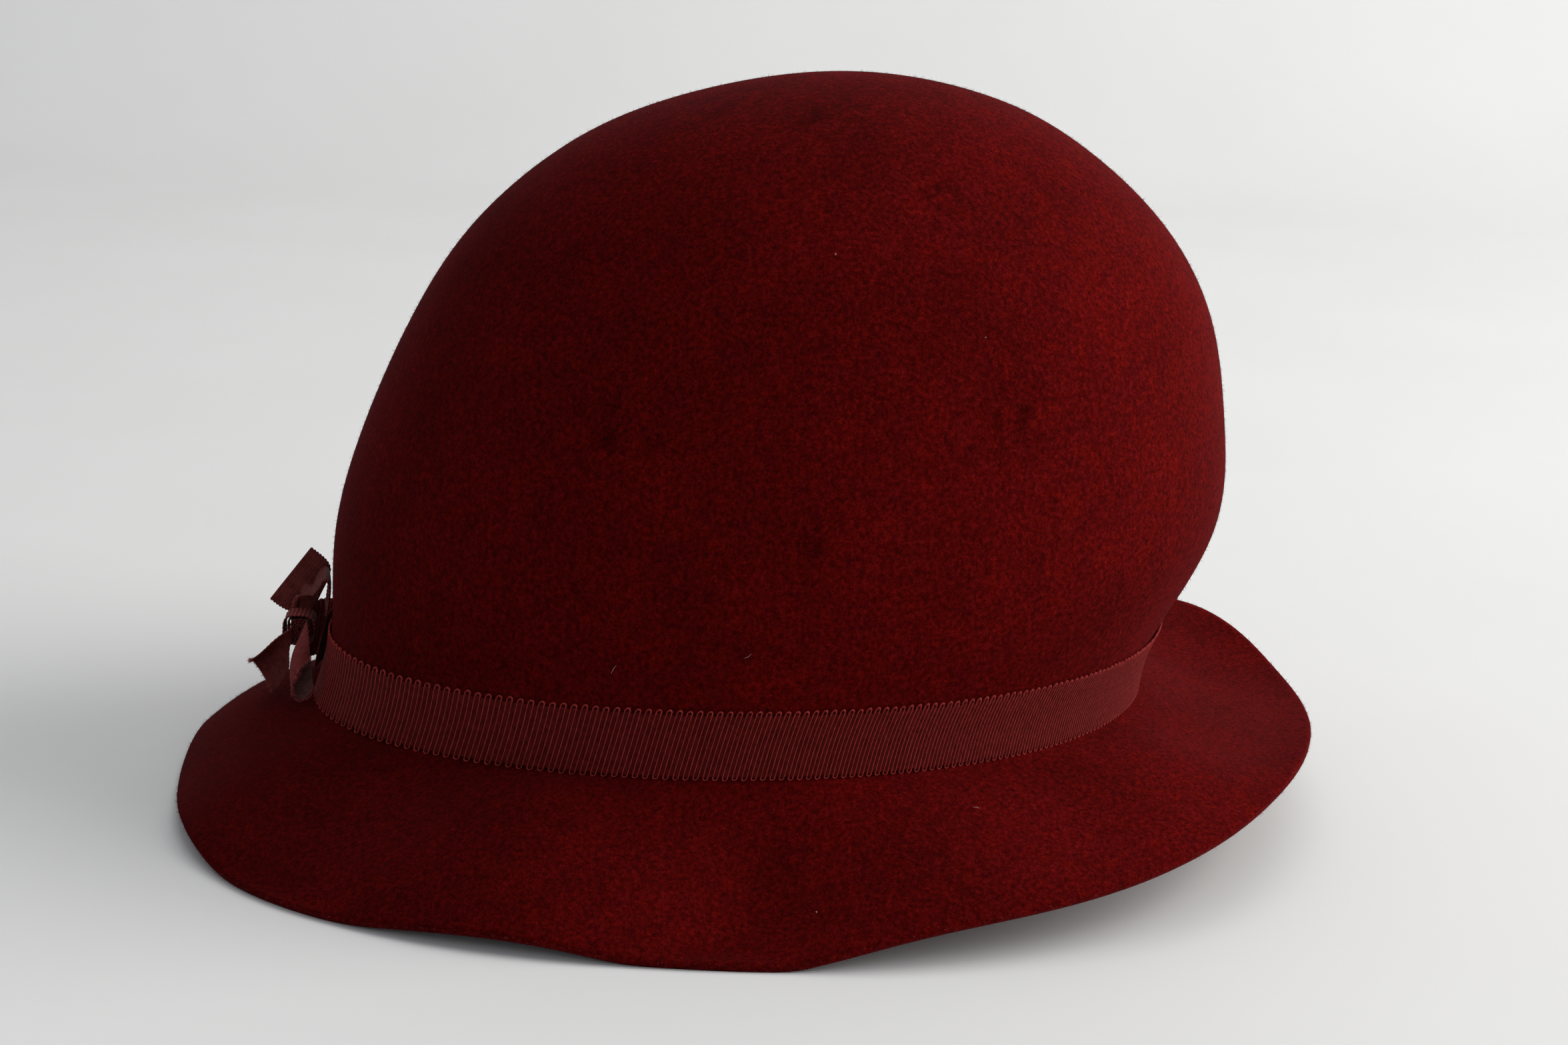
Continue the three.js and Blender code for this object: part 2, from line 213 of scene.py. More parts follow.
crown_table = table(CROWN_COLUMNS, CROWN_SECTIONS)
brim_table = table(BRIM_COLUMNS, BRIM_SECTIONS)
fold_table = table(FOLD_COLUMNS, BRIM_FOLDS)
dent_table = table(DENT_COLUMNS, CROWN_DENTS)
crown_rise = crown_curve("rise", 1)
crown_centre = crown_curve("centre", 1)
crown_half_length = crown_curve("half_length", -1)
crown_half_width = crown_curve("half_width", -1)
brim_reach = brim_curve("reach")
brim_edge = brim_curve("edge")
brim_bulge = brim_curve("bulge")


def unit(vectors):
    """Vectors at length one."""
    return vectors / np.linalg.norm(vectors, axis=-1, keepdims=True)


def apart(turn, centre):
    """Degrees from centre, the short way round."""
    return (np.degrees(turn) - centre + 180) % 360 - 180


def crown_point(step, turn):
    """A point of the crown's outer face, step 0 at the foot and CROWN_TOP at the tip."""
    step, turn = np.broadcast_arrays(np.asarray(step, float), np.asarray(turn, float))
    egg = 1 + EGG_SHAPE * (1 - step / CROWN_TOP) * np.sin(turn)
    x = crown_half_width(step) * np.cos(turn) * egg
    y = crown_centre(step) + crown_half_length(step) * np.sin(turn)
    rise = crown_rise(step)
    saddle = SADDLE_DROP * (y / SADDLE_SPAN) ** 2 * np.maximum(0, 1 - rise / SADDLE_FADE)
    return np.stack([x, y, FOOT_HEIGHT + rise + BACK_RISE * y - saddle], axis=-1)


def crown_outward(step, turn):
    """The outward direction of the crown's face."""
    nearby = 0.02
    up = crown_point(step + nearby, turn) - crown_point(step - nearby, turn)
    round_hat = crown_point(step, turn + nearby) - crown_point(step, turn - nearby)
    return unit(np.cross(round_hat, up))


def dented_crown_point(step, turn):
    """A crown point with the soft dents pressed in."""
    step, turn = np.broadcast_arrays(step, turn)
    point = crown_point(step, turn)
    depth = np.zeros(turn.shape)
    for i in range(len(CROWN_DENTS)):
        round_part = apart(turn, dent_table["turn"][i]) / dent_table["turn_spread"][i]
        up_part = (step - dent_table["step"][i]) / dent_table["step_spread"][i]
        depth = depth + dent_table["depth"][i] * np.exp(-(round_part**2) - up_part**2)
    inward = np.stack([np.cos(turn), np.sin(turn), 0 * turn], axis=-1)
    return point - inward * depth[..., None]


def brim_point(along, turn):
    """A point of the brim's upper face, along 0 at the crown's foot and 1 at the raw edge."""
    along, turn = np.broadcast_arrays(np.asarray(along, float), np.asarray(turn, float))
    nearby = 0.01
    foot = crown_point(np.zeros_like(turn), turn)
    tangent = crown_point(0 * turn, turn + nearby) - crown_point(0 * turn, turn - nearby)
    outward = unit(np.stack([tangent[..., 1], -tangent[..., 0], 0 * turn], axis=-1))
    slope = np.arctan2(foot[..., 2] - brim_edge(turn), brim_reach(turn))
    edge_top = brim_edge(turn) + FELT_THICKNESS * np.cos(slope)
    point = foot + outward * (brim_reach(turn) * along)[..., None]
    fold = np.zeros_like(turn)
    for i in range(len(BRIM_FOLDS)):
        across_fold = apart(turn, fold_table["turn"][i]) / fold_table["spread"][i]
        fold = fold + fold_table["height"][i] * np.exp(-(across_fold**2))
    height = foot[..., 2] * (1 - along) + edge_top * along
    point[..., 2] = height + (brim_bulge(turn) + fold) * 4 * along * (1 - along)
    return point


def press_lift(height):
    """How far felt at a height is lifted where the table presses it flat."""
    eased = (height + PRESS_EASE) ** 2 / (4 * PRESS_EASE) - height
    return np.where(height <= -PRESS_EASE, -height, np.where(height >= PRESS_EASE, 0, eased))


def make_object(name, points, faces, material, smooth=True):
    """An object from points in millimetres and faces, moved to the part's origin."""
    mesh = bpy.data.meshes.new(name)
    mesh.from_pydata(((points - HAT_MIDDLE) * MM).tolist(), [], faces)
    mesh.polygons.foreach_set("use_smooth", [smooth] * len(mesh.polygons))
    mesh.materials.append(material)
    mesh.update()
    made = bpy.data.objects.new(name, mesh)
    bpy.context.scene.collection.objects.link(made)
    return made


def grid_faces(rows, columns, close_rows=False, close_columns=False):
    """Quads of a grid of points, which may close on itself either way."""
    row = np.arange(rows if close_rows else rows - 1)
    column = np.arange(columns if close_columns else columns - 1)
    row, column = np.meshgrid(row, column, indexing="ij")
    below = (row + 1) % rows
    beside = (column + 1) % columns
    corners = [
        row * columns + column,
        below * columns + column,
        below * columns + beside,
        row * columns + beside,
    ]
    return np.stack(corners, axis=-1).reshape(-1, 4)


# Felt
def felt_rings(turns, crown_rings, brim_rings):
    """The felt's outer and inner faces as rings of points from the tip to the raw edge."""
    turn = np.linspace(0, 2 * np.pi, turns, endpoint=False)[None, :]
    steps = np.linspace(CROWN_TOP - 0.12, 0.08, crown_rings)[:, None]
    alongs = np.linspace(0, 1, brim_rings)[:, None]
    outer = np.concatenate([dented_crown_point(steps, turn), brim_point(alongs, turn)])
    tip = crown_point(CROWN_TOP, 0.0)
    above = np.concatenate([np.broadcast_to(tip, outer[:1].shape), outer[:-1]])
    below = np.concatenate([outer[1:], outer[-1:]])
    round_hat = np.roll(outer, -1, axis=1) - np.roll(outer, 1, axis=1)
    outward = unit(np.cross(below - above, round_hat))
    inner = outer - outward * FELT_THICKNESS
    lift = press_lift(inner[..., 2])
    outer[..., 2] += lift
    inner[..., 2] += lift
    return outer, inner, outward, tip


def make_felt(material):
    """The hood as one closed wall with a slightly rounded raw edge."""
    edge_half = 0.25
    rim = (outer_face[-1] + inner_face[-1]) / 2 + unit(outer_face[-1] - outer_face[-4]) * edge_half
    rim[:, 2] = np.maximum(rim[:, 2], 0.3)
    inner_rings = inner_face[::-1]
    rings = np.concatenate([outer_face, rim[None], inner_rings])
    turns = rings.shape[1]
    points = np.concatenate([rings.reshape(-1, 3), [tip_point, tip_point - (0, 0, FELT_THICKNESS)]])
    faces = grid_faces(len(rings), turns, close_columns=True).tolist()
    outer_tip, inner_tip = len(points) - 2, len(points) - 1
    last = (len(rings) - 1) * turns
    for k in range(turns):
        beside = (k + 1) % turns
        faces.append([outer_tip, k, beside])
        faces.append([inner_tip, last + beside, last + k])
    return make_object("felt", points, faces, material)


def blades(roots, tips, width, name, material):
    """Thin blades from roots to tips, one triangle each."""
    aside = unit(np.cross(tips - roots, random.normal(size=roots.shape))) * width / 2
    points = np.stack([roots - aside, roots + aside, tips], axis=1).reshape(-1, 3)
    faces = np.arange(len(points)).reshape(-1, 3).tolist()
    return make_object(name, points, faces, material, smooth=False)


def make_nap(material):
    """Fine fibres that lie down over the felt and soften its outline."""
    rings, turns = outer_face.shape[:2]
    across = np.linalg.norm(outer_face - np.roll(outer_face, 1, axis=1), axis=-1)
    weight = (across / across.sum()).ravel()
    pick = random.choice(rings * turns, NAP_FIBRES, p=weight)
    ring, turn = np.divmod(pick, turns)
    below = np.minimum(ring + 1, rings - 1)
    share = random.random((NAP_FIBRES, 1))
    beside_share = random.random((NAP_FIBRES, 1))
    root = outer_face[ring, turn] * (1 - share) + outer_face[below, turn] * share
    root += (outer_face[ring, (turn + 1) % turns] - outer_face[ring, turn]) * beside_share
    down = unit(outer_face[below, turn] - outer_face[np.maximum(ring - 1, 0), turn])
    outward = outward_face[ring, turn]
    lean = random.normal(size=(NAP_FIBRES, 3)) * 0.75 + down * 0.35
    lean -= outward * (lean * outward).sum(axis=1, keepdims=True)
    direction = unit(lean + outward * random.uniform(0.25, 0.9, (NAP_FIBRES, 1)))
    length = random.uniform(0.45, 1.15, (NAP_FIBRES, 1))
    tip = root + direction * length
    tip[:, 2] = np.maximum(tip[:, 2], 0.1)
    return blades(root - outward * 0.05, tip, 0.07, "felt_nap", material)


def make_edge_fuzz(material):
    """Short pale fibres along the raw cut edge of the brim."""
    turns = outer_face.shape[1]
    turn = random.integers(0, turns, EDGE_FIBRES)
    share = random.random((EDGE_FIBRES, 1))
    root = outer_face[-1, turn] * (1 - share) + inner_face[-1, turn] * share
    root += (outer_face[-1, (turn + 1) % turns] - outer_face[-1, turn]) * random.random((EDGE_FIBRES, 1))
    away = unit(outer_face[-1, turn] - outer_face[-4, turn])
    direction = unit(away + random.normal(size=root.shape) * 0.6)
    tip = root + direction * random.uniform(0.35, 0.95, (EDGE_FIBRES, 1))
    tip[:, 2] = np.maximum(tip[:, 2], 0.1)
    return blades(root, tip, 0.07, "edge_fuzz", material)


def make_lint(material):
    """Stray fibres and specks that lie on the felt."""
    points = []
    faces = []
    places, corners = 9, 5
    around = np.linspace(0, 2 * np.pi, corners, endpoint=False)
    for part, place_up, turn, length, heading, waviness, half_width in LINT:
        surface = dented_crown_point if part == "crown" else brim_point
        turn = math.radians(turn)
        nearby = 0.01
        start = surface(place_up, turn)
        ahead = surface(place_up + nearby, turn)
        beside = surface(place_up, turn + nearby)
        first = unit(ahead - start)
        second = unit(beside - start)
        outward = unit(np.cross(second, first))
        outward = outward if outward @ (start - (0, 0, 60)) > 0 or outward[2] > 0.5 else -outward
        angles = math.radians(heading) + np.cumsum(random.normal(size=places)) * waviness * 0.45
        moves = np.outer(np.cos(angles), second) + np.outer(np.sin(angles), first)
        path = start + outward * (0.3 + half_width) + np.cumsum(moves, axis=0) * length / places
        path += np.outer(np.sin(np.linspace(0, 3, places)) * 0.25, outward)
        aside = unit(np.cross(moves, outward))
        taper = half_width * np.sin(np.linspace(0.5, 2.7, places))[:, None, None]
        ring = aside[:, None] * np.cos(around)[None, :, None] + outward * np.sin(around)[None, :, None]
        ring = path[:, None] + ring * taper
        faces.append(grid_faces(places, corners, close_columns=True) + places * corners * len(points))
        points.append(ring.reshape(-1, 3))
    return make_object("lint", np.concatenate(points), np.concatenate(faces).tolist(), material)


# Ribbon
def make_ribbon(name, surface, ribs, width, materials):
    """A closed petersham ribbon: a ribbed sheet, and the weft that outlines its ribs in loops.

    surface(s, v, h) gives the point at s along, v across and h above the middle of the sheet.
    ribs are the places along the ribbon where the weft crosses it.
    """
    sheet_look, yarn_look = materials
    count = len(ribs)
    pitch = np.diff(np.append(ribs, 2 * ribs[-1] - ribs[-2]))
    parts = 4
    rows = np.concatenate([[0, 0.02, 0.05], np.linspace(0.12, 0.88, 6), [0.95, 0.98, 1]]) * width
    columns = []
    for i in range(count):
        for part in range(parts):
            share = part / parts
            swell = RIB_SWELL * math.sin(math.pi * share) ** 0.7
            inside = 1 if i % 2 == 0 else -1
            notch = inside * math.sin(math.pi * share) * LOOP_REACH * 0.6
            columns.append((ribs[i] + pitch[i] * share, SHEET_HALF + swell, notch))
    along, half, notch = (np.array(column)[:, None] for column in zip(*columns))
    lower_notch = np.maximum(0, -notch)
    upper_notch = np.maximum(0, notch)
    across = lower_notch + rows[None, :] / width * (width - lower_notch - upper_notch)
    rounding = np.ones(len(rows))
    rounding[[0, -1]] = 0.3
    top = surface(along, across, half * rounding)
    bottom = surface(along, across, -half * rounding)
    loop = np.concatenate([top, bottom[:, ::-1]], axis=1)
    faces = grid_faces(len(loop), loop.shape[1], close_rows=True, close_columns=True).tolist()
    sheet = make_object(name + "_sheet", loop.reshape(-1, 3), faces, sheet_look)
    yarn = make_yarn(name + "_weft", surface, ribs, pitch, width, yarn_look)
    return [sheet, yarn]


def make_yarn(name, surface, ribs, pitch, width, material):
    """The weft as one closed serpentine cord: up one rib, round a loop, down the next."""
    path = []
    crossing = np.linspace(0.06, 0.94, 7) * width
    bend = np.radians([20, 55, 90, 125, 160])
    for i, place in enumerate(ribs):
        upward = i % 2 == 1
        for v in crossing if upward else crossing[::-1]:
            path.append((place, v))
        reach = LOOP_REACH * random.uniform(0.8, 1.15)
        half_pitch = pitch[i] / 2
        for angle in bend:
            s = place + half_pitch * (1 - math.cos(angle))
            out = reach * math.sin(angle)
            path.append((s, width + out) if upward else (s, -out))
    path = np.array(path)
    ahead = np.roll(path, -1, axis=0) - np.roll(path, 1, axis=0)
    total = ribs[-1] + pitch[-1] - ribs[0]
    ahead[0, 0] += total
    ahead[-1, 0] += total
    ahead = unit(ahead)
    corners = 6
    sides = np.linspace(0, 2 * np.pi, corners, endpoint=False)[None, :]
    s = path[:, :1] - ahead[:, 1:] * np.cos(sides) * YARN_HALF_WIDTH
    v = path[:, 1:] + ahead[:, :1] * np.cos(sides) * YARN_HALF_WIDTH
    points = surface(s, v, np.sin(sides) * YARN_HALF_HEIGHT)
    faces = grid_faces(len(path), corners, close_rows=True, close_columns=True).tolist()
    return make_object(name, points.reshape(-1, 3), faces, material)


def rib_pitch(turn):
    """How far apart the ribs are: the ribbon is drawn open round the front turn."""
    openness = ((1 + np.cos(turn - WIDE_TURN)) / 2) ** 3.5
    return RIB_PITCH_FINE + (RIB_PITCH_WIDE - RIB_PITCH_FINE) * openness


def make_band(materials):
    """The ribbon round the foot of the crown."""
    fine = np.linspace(0, 2 * np.pi, 2881)
    middle = crown_point((BAND_LOW_STEP + BAND_HIGH_STEP) / 2, fine)
    length = np.concatenate([[0], np.cumsum(np.linalg.norm(np.diff(middle, axis=0), axis=1))])
    ribs_so_far = np.concatenate([[0], np.cumsum(np.diff(length) / rib_pitch(fine[1:]))])
    count = 2 * round(ribs_so_far[-1] / 2)
    ribs = np.interp(np.arange(count) * ribs_so_far[-1] / count, ribs_so_far, length)

    def surface(s, v, h):
        s, v, h = np.broadcast_arrays(s, v, h)
        turn = np.interp(s % length[-1], length, fine)
        step = BAND_LOW_STEP + (BAND_HIGH_STEP - BAND_LOW_STEP) * v / RIBBON_WIDTH
        outward = crown_outward(step, turn)
        return crown_point(step, turn) + outward * (BAND_MID_HEIGHT + h)[..., None]

    return make_ribbon("band", surface, ribs, RIBBON_WIDTH, materials)


# Bow, the same tables as in the part's source: middle line, direction across the ribbon, half its
# width and how far it is curled across
STRIP_COLUMNS = ("x", "y", "z", "ax", "ay", "az", "half", "curl")
UPPER_LOOP = [
    (-4.6, -105.2, 32.9, 0, -0.1, 1, 1.8, -10),
    (-8.6, -105.7, 34.6, 0.1, -0.1, 1, 2.3, -10),
    (-6.8, -103.1, 40.3, 0.93, 0.2, 0.05, 4.4, -14),
    (-4.2, -100.8, 41.9, 0.95, 0.16, 0.1, 6.3, -14),
    (-4, -99.5, 43.6, 0.95, 0.14, 0.06, 7, -8),
    (-4, -98.2, 45.5, 0.97, 0.1, 0.02, 7, -8),
    (-4, -96.8, 44.7, 0.97, 0.1, 0, 7, -8),
    (-4.2, -96.8, 40.4, 0.97, 0.1, 0, 7, -8),
    (-4.6, -97.4, 36.4, 0.97, 0.1, 0, 6.4, -8),
]
UPPER_TAIL = [
    (-4.6, -101.7, 32.9, 0, 0.1, 1, 2, 10),
    (-8.4, -101.5, 33.8, 0, 0.2, 1, 2.6, 10),
    (-12.2, -100.6, 37, 0, 0.5, 0.87, 5, 6),
    (-12.8, -101.8, 39.4, 0, 0.6, 0.8, 7.4, 4),
    (-12.8, -104.3, 41.3, 0, 0.6, 0.8, 8.2, 2),
    (-12.8, -106.8, 43.2, 0, 0.6, 0.8, 8.2, 2),
]
FAR_LOOP = [
    (-4.6, -103.5, 32.9, 0, 0, 1, 2, 10),
    (-6.8, -103.5, 32.6, 0, 0, 1, 2, 10),
    (-10, -103.3, 29.2, 0.2, 0, 1, 3.6, 10),
    (-14.5, -104, 26.6, 0, 0, 1, 5.6, 8),
    (-19.4, -101.6, 27.8, 0, 0.1, 1, 7.2, 8),
    (-19.4, -97.9, 28, 0, 0.24, 1, 7.2, 8),
    (-14, -98.4, 28, 0, 0.24, 1, 7.2, 8),
    (-7, -99.1, 28, 0, 0.22, 1, 6.6, 6),
]
NEAR_TAIL = [
    (0.2, -101.7, 32.9, 0, 0.1, 1, 2, 10),
    (3.4, -102, 33, 0.2, 0.1, 1, 2.6, 60),
    (7.5, -103, 31, 0.5, 0, 0.85, 4.6, 200),
    (12.4, -103.9, 27.4, 0.65, 0, 0.75, 6.4, 270),
    (18.6, -102.8, 22.2, 0.65, 0, 0.75, 6.9, 285),
]
FAR_TAIL = [
    (0.2, -104.9, 32.2, 0, -0.1, 1, 1.8, 10),
    (2.6, -105.6, 31.6, 0.1, -0.1, 1, 1.9, 40),
    (3.4, -108, 27.9, 0.4, -0.5, 0.7, 4.8, 90),
    (1.2, -110.4, 24.9, 0.47, -0.48, 0.74, 6.8, 125),
    (0.6, -113, 23.6, 0.47, -0.44, 0.76, 7.2, 130),
]
NEAR_TAIL_SLANT = 1.3
FAR_TAIL_SLANT = 0.3
SLANT_TIP = -0.35
SCALLOP = 0.26


def strip_surface(rows, slant):
    """The surface of a strip of the bow, its length, and its widest width."""
    columns = table(STRIP_COLUMNS, rows)
    curves = {name: smooth_curve(values) for name, values in columns.items()}
    fine = np.linspace(0, len(rows) - 1, 400)
    centre = np.stack([curves[axis](fine) for axis in "xyz"], axis=-1)
    length = np.concatenate([[0], np.cumsum(np.linalg.norm(np.diff(centre, axis=0), axis=1))])
    width = 2 * columns["half"].max()

    def surface(s, v, h):
        s, v, h = np.broadcast_arrays(s, v, h)
        side = 2 * v / width - 1
        step = np.interp(s, length, fine)
        share = step / (len(rows) - 1)
        step = step - slant * ((side - SLANT_TIP) / (1 - SLANT_TIP)) ** 2 * share**2
        nearby = 0.01
        ahead = [curves[axis](step + nearby) - curves[axis](step - nearby) for axis in "xyz"]
        along = unit(np.stack(ahead, axis=-1))
        across = np.stack([curves[axis](step) for axis in ("ax", "ay", "az")], axis=-1)
        across = unit(across)
        face = unit(np.cross(along, across))
        curl = np.radians(curves["curl"](step))
        radius = (2 * curves["half"](step) / curl)[..., None]
        turn = (side * curl / 2)[..., None]
        outward = face * np.cos(turn) + across * np.sin(turn)
        middle = np.stack([curves[axis](step) for axis in "xyz"], axis=-1)
        return middle + face * -radius + outward * (radius + h[..., None])

    return surface, length[-1], width


def make_ribbed(name, surface, length, width, pitch, swell, looks, closed=False):
    """A sheet with rounded ribs across it and small scallops along both selvedges.

    looks are the materials of the valleys, of the crests and of the lower face.
    """
    count = max(4, round(length / pitch / 2) * 2)
    parts = 6
    columns = count * parts + (0 if closed else 1)
    s = np.arange(columns) * length / (count * parts)
    share = (np.arange(columns) % parts) / parts
    rib = np.sin(np.pi * share) ** 0.8
    rows = np.concatenate([[0, 0.02, 0.06], np.linspace(0.12, 0.88, 9), [0.94, 0.98, 1]])
    scallop = SCALLOP * (1 - rib)
    across = scallop[:, None] + rows[None, :] * (width - 2 * scallop[:, None])
    rounding = np.ones(len(rows))
    rounding[[0, -1]] = 0.25
    rounding[[1, -2]] = 0.8
    half = (SHEET_HALF + swell * rib)[:, None] * rounding
    top = surface(s[:, None], across, half)
    bottom = surface(s[:, None], across, -half)
    loop = np.concatenate([top, bottom[:, ::-1]], axis=1)
    size = loop.shape[1]
    faces = grid_faces(columns, size, close_rows=closed, close_columns=True).tolist()
    side = np.tile(np.arange(size), len(faces) // size)
    crest = np.repeat(rib[: len(faces) // size] + np.roll(rib, -1)[: len(faces) // size] > 1.55, size)
    look = np.where(side >= len(rows), 2, np.where(crest, 1, 0))
    if not closed:
        last = (columns - 1) * size
        for k in range(len(rows) - 1):
            opposite = size - 1 - k
            faces.append([k, k + 1, opposite - 1, opposite])
            faces.append([last + k, last + opposite, last + opposite - 1, last + k + 1])
        look = np.append(look, np.zeros(2 * (len(rows) - 1), int))
    made = make_object(name, loop.reshape(-1, 3), faces, looks[0])
    for extra in looks[1:]:
        made.data.materials.append(extra)
    made.data.polygons.foreach_set("material_index", look.astype(np.int32))
    return made


def make_strip(name, rows, slant, pitch, swell, looks):
    """A ribbed strip of the bow along its table of rows."""
    surface, length, width = strip_surface(rows, slant)
    return make_ribbed(name, surface, length, width, pitch, swell, looks)


def make_knot(looks):
    """The flat loop of ribbon wrapped round the roots of the tails, open at both sides."""
    half_depth, half_height, width, squareness = 3.4, 3.3, 6.8, 0.6
    turn = np.linspace(0, 2 * np.pi, 721)

    def outline(angle):
        depth = np.sign(np.cos(angle)) * np.abs(np.cos(angle)) ** squareness
        height = np.sign(np.sin(angle)) * np.abs(np.sin(angle)) ** squareness
        return KNOT_PLACE[1] + half_depth * depth, KNOT_PLACE[2] + half_height * height

    y, z = outline(turn)
    length = np.concatenate([[0], np.cumsum(np.hypot(np.diff(y), np.diff(z)))])

    def surface(s, v, h):
        s, v, h = np.broadcast_arrays(s, v, h)
        angle = np.interp(s % length[-1], length, turn)
        y, z = outline(angle)
        outward = unit(np.stack([0 * y, y - KNOT_PLACE[1], z - KNOT_PLACE[2]], axis=-1))
        flare = 0.25 * np.abs(2 * v / width - 1) ** 2
        point = np.stack([KNOT_PLACE[0] - width / 2 + v, y, z], axis=-1)
        return point + outward * (h + flare)[..., None]

    return make_ribbed("knot", surface, length[-1], width, 0.9, 0.1, looks, closed=True)


def make_knot_core(looks):
    """The ribbon rolled up inside the knot, seen end-on as a dark spiral. The solids have none."""
    width, turns, outer_radius, inner_radius = 3.2, 4.3, 2.8, 0.3
    start_angle, creep = 2.2, 0.35
    middle = KNOT_PLACE[0] - width / 2
    length = 2 * math.pi * turns * (outer_radius + inner_radius) / 2

    def surface(s, v, h):
        s, v, h = np.broadcast_arrays(s, v, h)
        share = s / length
        radius = outer_radius + (inner_radius - outer_radius) * share**0.8 + h
        angle = 2 * np.pi * turns * share + start_angle
        square = 1 / (np.abs(np.cos(angle)) ** 3 + np.abs(np.sin(angle)) ** 3) ** (1 / 3)
        y = KNOT_PLACE[1] + radius * np.cos(angle) * square
        z = KNOT_PLACE[2] + radius * np.sin(angle) * square
        return np.stack([middle + v + creep * share, y, z], axis=-1)

    return make_ribbed("knot_core", surface, length, width, 0.9, 0.06, looks)


def make_fray(name, rows, slant, count, reach, material):
    """Loose threads all along the cut end of a strip."""
    surface, length, width = strip_surface(rows, slant)
    v = width * (1 + random.uniform(-1, 1, count)) / 2
    h = random.uniform(-SHEET_HALF, SHEET_HALF, count) * 2
    root = surface(np.full(count, length - 0.4), v, h)
    away = unit(surface(np.full(count, length), v, h) - surface(np.full(count, length - 0.5), v, h))
    direction = unit(away + random.normal(size=root.shape) * 0.4)
    tip = root + direction * random.uniform(0.4, 1, (count, 1)) * reach
    return blades(root, tip, 0.16, name, material)


# Materials
def new_material(name):
    """A material with its node tree and its shader."""
    material = bpy.data.materials.new(name)
    material.use_nodes = True
    tree = material.node_tree
    return material, tree, tree.nodes["Principled BSDF"]


def noise_node(tree, scale, detail=4.0, roughness=0.55):
    """Noise in the object's own space, scale in features a metre."""
    place = tree.nodes.new("ShaderNodeTexCoord")
    noise = tree.nodes.new("ShaderNodeTexNoise")
    noise.inputs["Scale"].default_value = scale
    noise.inputs["Detail"].default_value = detail
    noise.inputs["Roughness"].default_value = roughness
    tree.links.new(place.outputs["Object"], noise.inputs["Vector"])
    return noise.outputs["Fac"]


def ramp_node(tree, factor, stops):
    """A colour ramp over a factor, stops as (place, linear colour)."""
    ramp = tree.nodes.new("ShaderNodeValToRGB")
    elements = ramp.color_ramp.elements
    while len(elements) < len(stops):
        elements.new(0.5)
    for element, (place, color) in zip(elements, stops):
        element.position = place
        element.color = (*color, 1)
    tree.links.new(factor, ramp.inputs["Fac"])
    return ramp.outputs["Color"]


def mix_node(tree, blend, factor, first, second):
    """Two colours mixed, the factor a number or a socket."""
    mix = tree.nodes.new("ShaderNodeMix")
    mix.data_type = "RGBA"
    mix.blend_type = blend
    if isinstance(factor, float):
        mix.inputs["Factor"].default_value = factor
    else:
        tree.links.new(factor, mix.inputs["Factor"])
    tree.links.new(first, mix.inputs["A"])
    tree.links.new(second, mix.inputs["B"])
    return mix.outputs["Result"]


def bump_node(tree, height, strength, distance, shader, before=None):
    """Fine relief on a shader's normal."""
    bump = tree.nodes.new("ShaderNodeBump")
    bump.inputs["Strength"].default_value = strength
    bump.inputs["Distance"].default_value = distance
    tree.links.new(height, bump.inputs["Height"])
    if before is not None:
        tree.links.new(before, bump.inputs["Normal"])
    tree.links.new(bump.outputs["Normal"], shader.inputs["Normal"])
    return bump.outputs["Normal"]


def patch_node(tree, centre, radius):
    """A soft round patch in the object's own space, one inside and zero outside."""
    place = tree.nodes.new("ShaderNodeTexCoord")
    away = tree.nodes.new("ShaderNodeVectorMath")
    away.operation = "DISTANCE"
    away.inputs[1].default_value = [float(part) for part in (np.array(centre) - HAT_MIDDLE) * MM]
    tree.links.new(place.outputs["Object"], away.inputs[0])
    soft = tree.nodes.new("ShaderNodeMapRange")
    soft.inputs["From Min"].default_value = radius * 0.4 * MM
    soft.inputs["From Max"].default_value = radius * 1.1 * MM
    soft.inputs["To Min"].default_value = 1
    soft.inputs["To Max"].default_value = 0
    tree.links.new(away.outputs["Value"], soft.inputs["Value"])
    return soft.outputs["Result"]


def math_node(tree, operation, first, second):
    """Two values multiplied, or the larger of them, or the like."""
    made = tree.nodes.new("ShaderNodeMath")
    made.operation = operation
    tree.links.new(first, made.inputs[0])
    tree.links.new(second, made.inputs[1])
    return made.outputs["Value"]


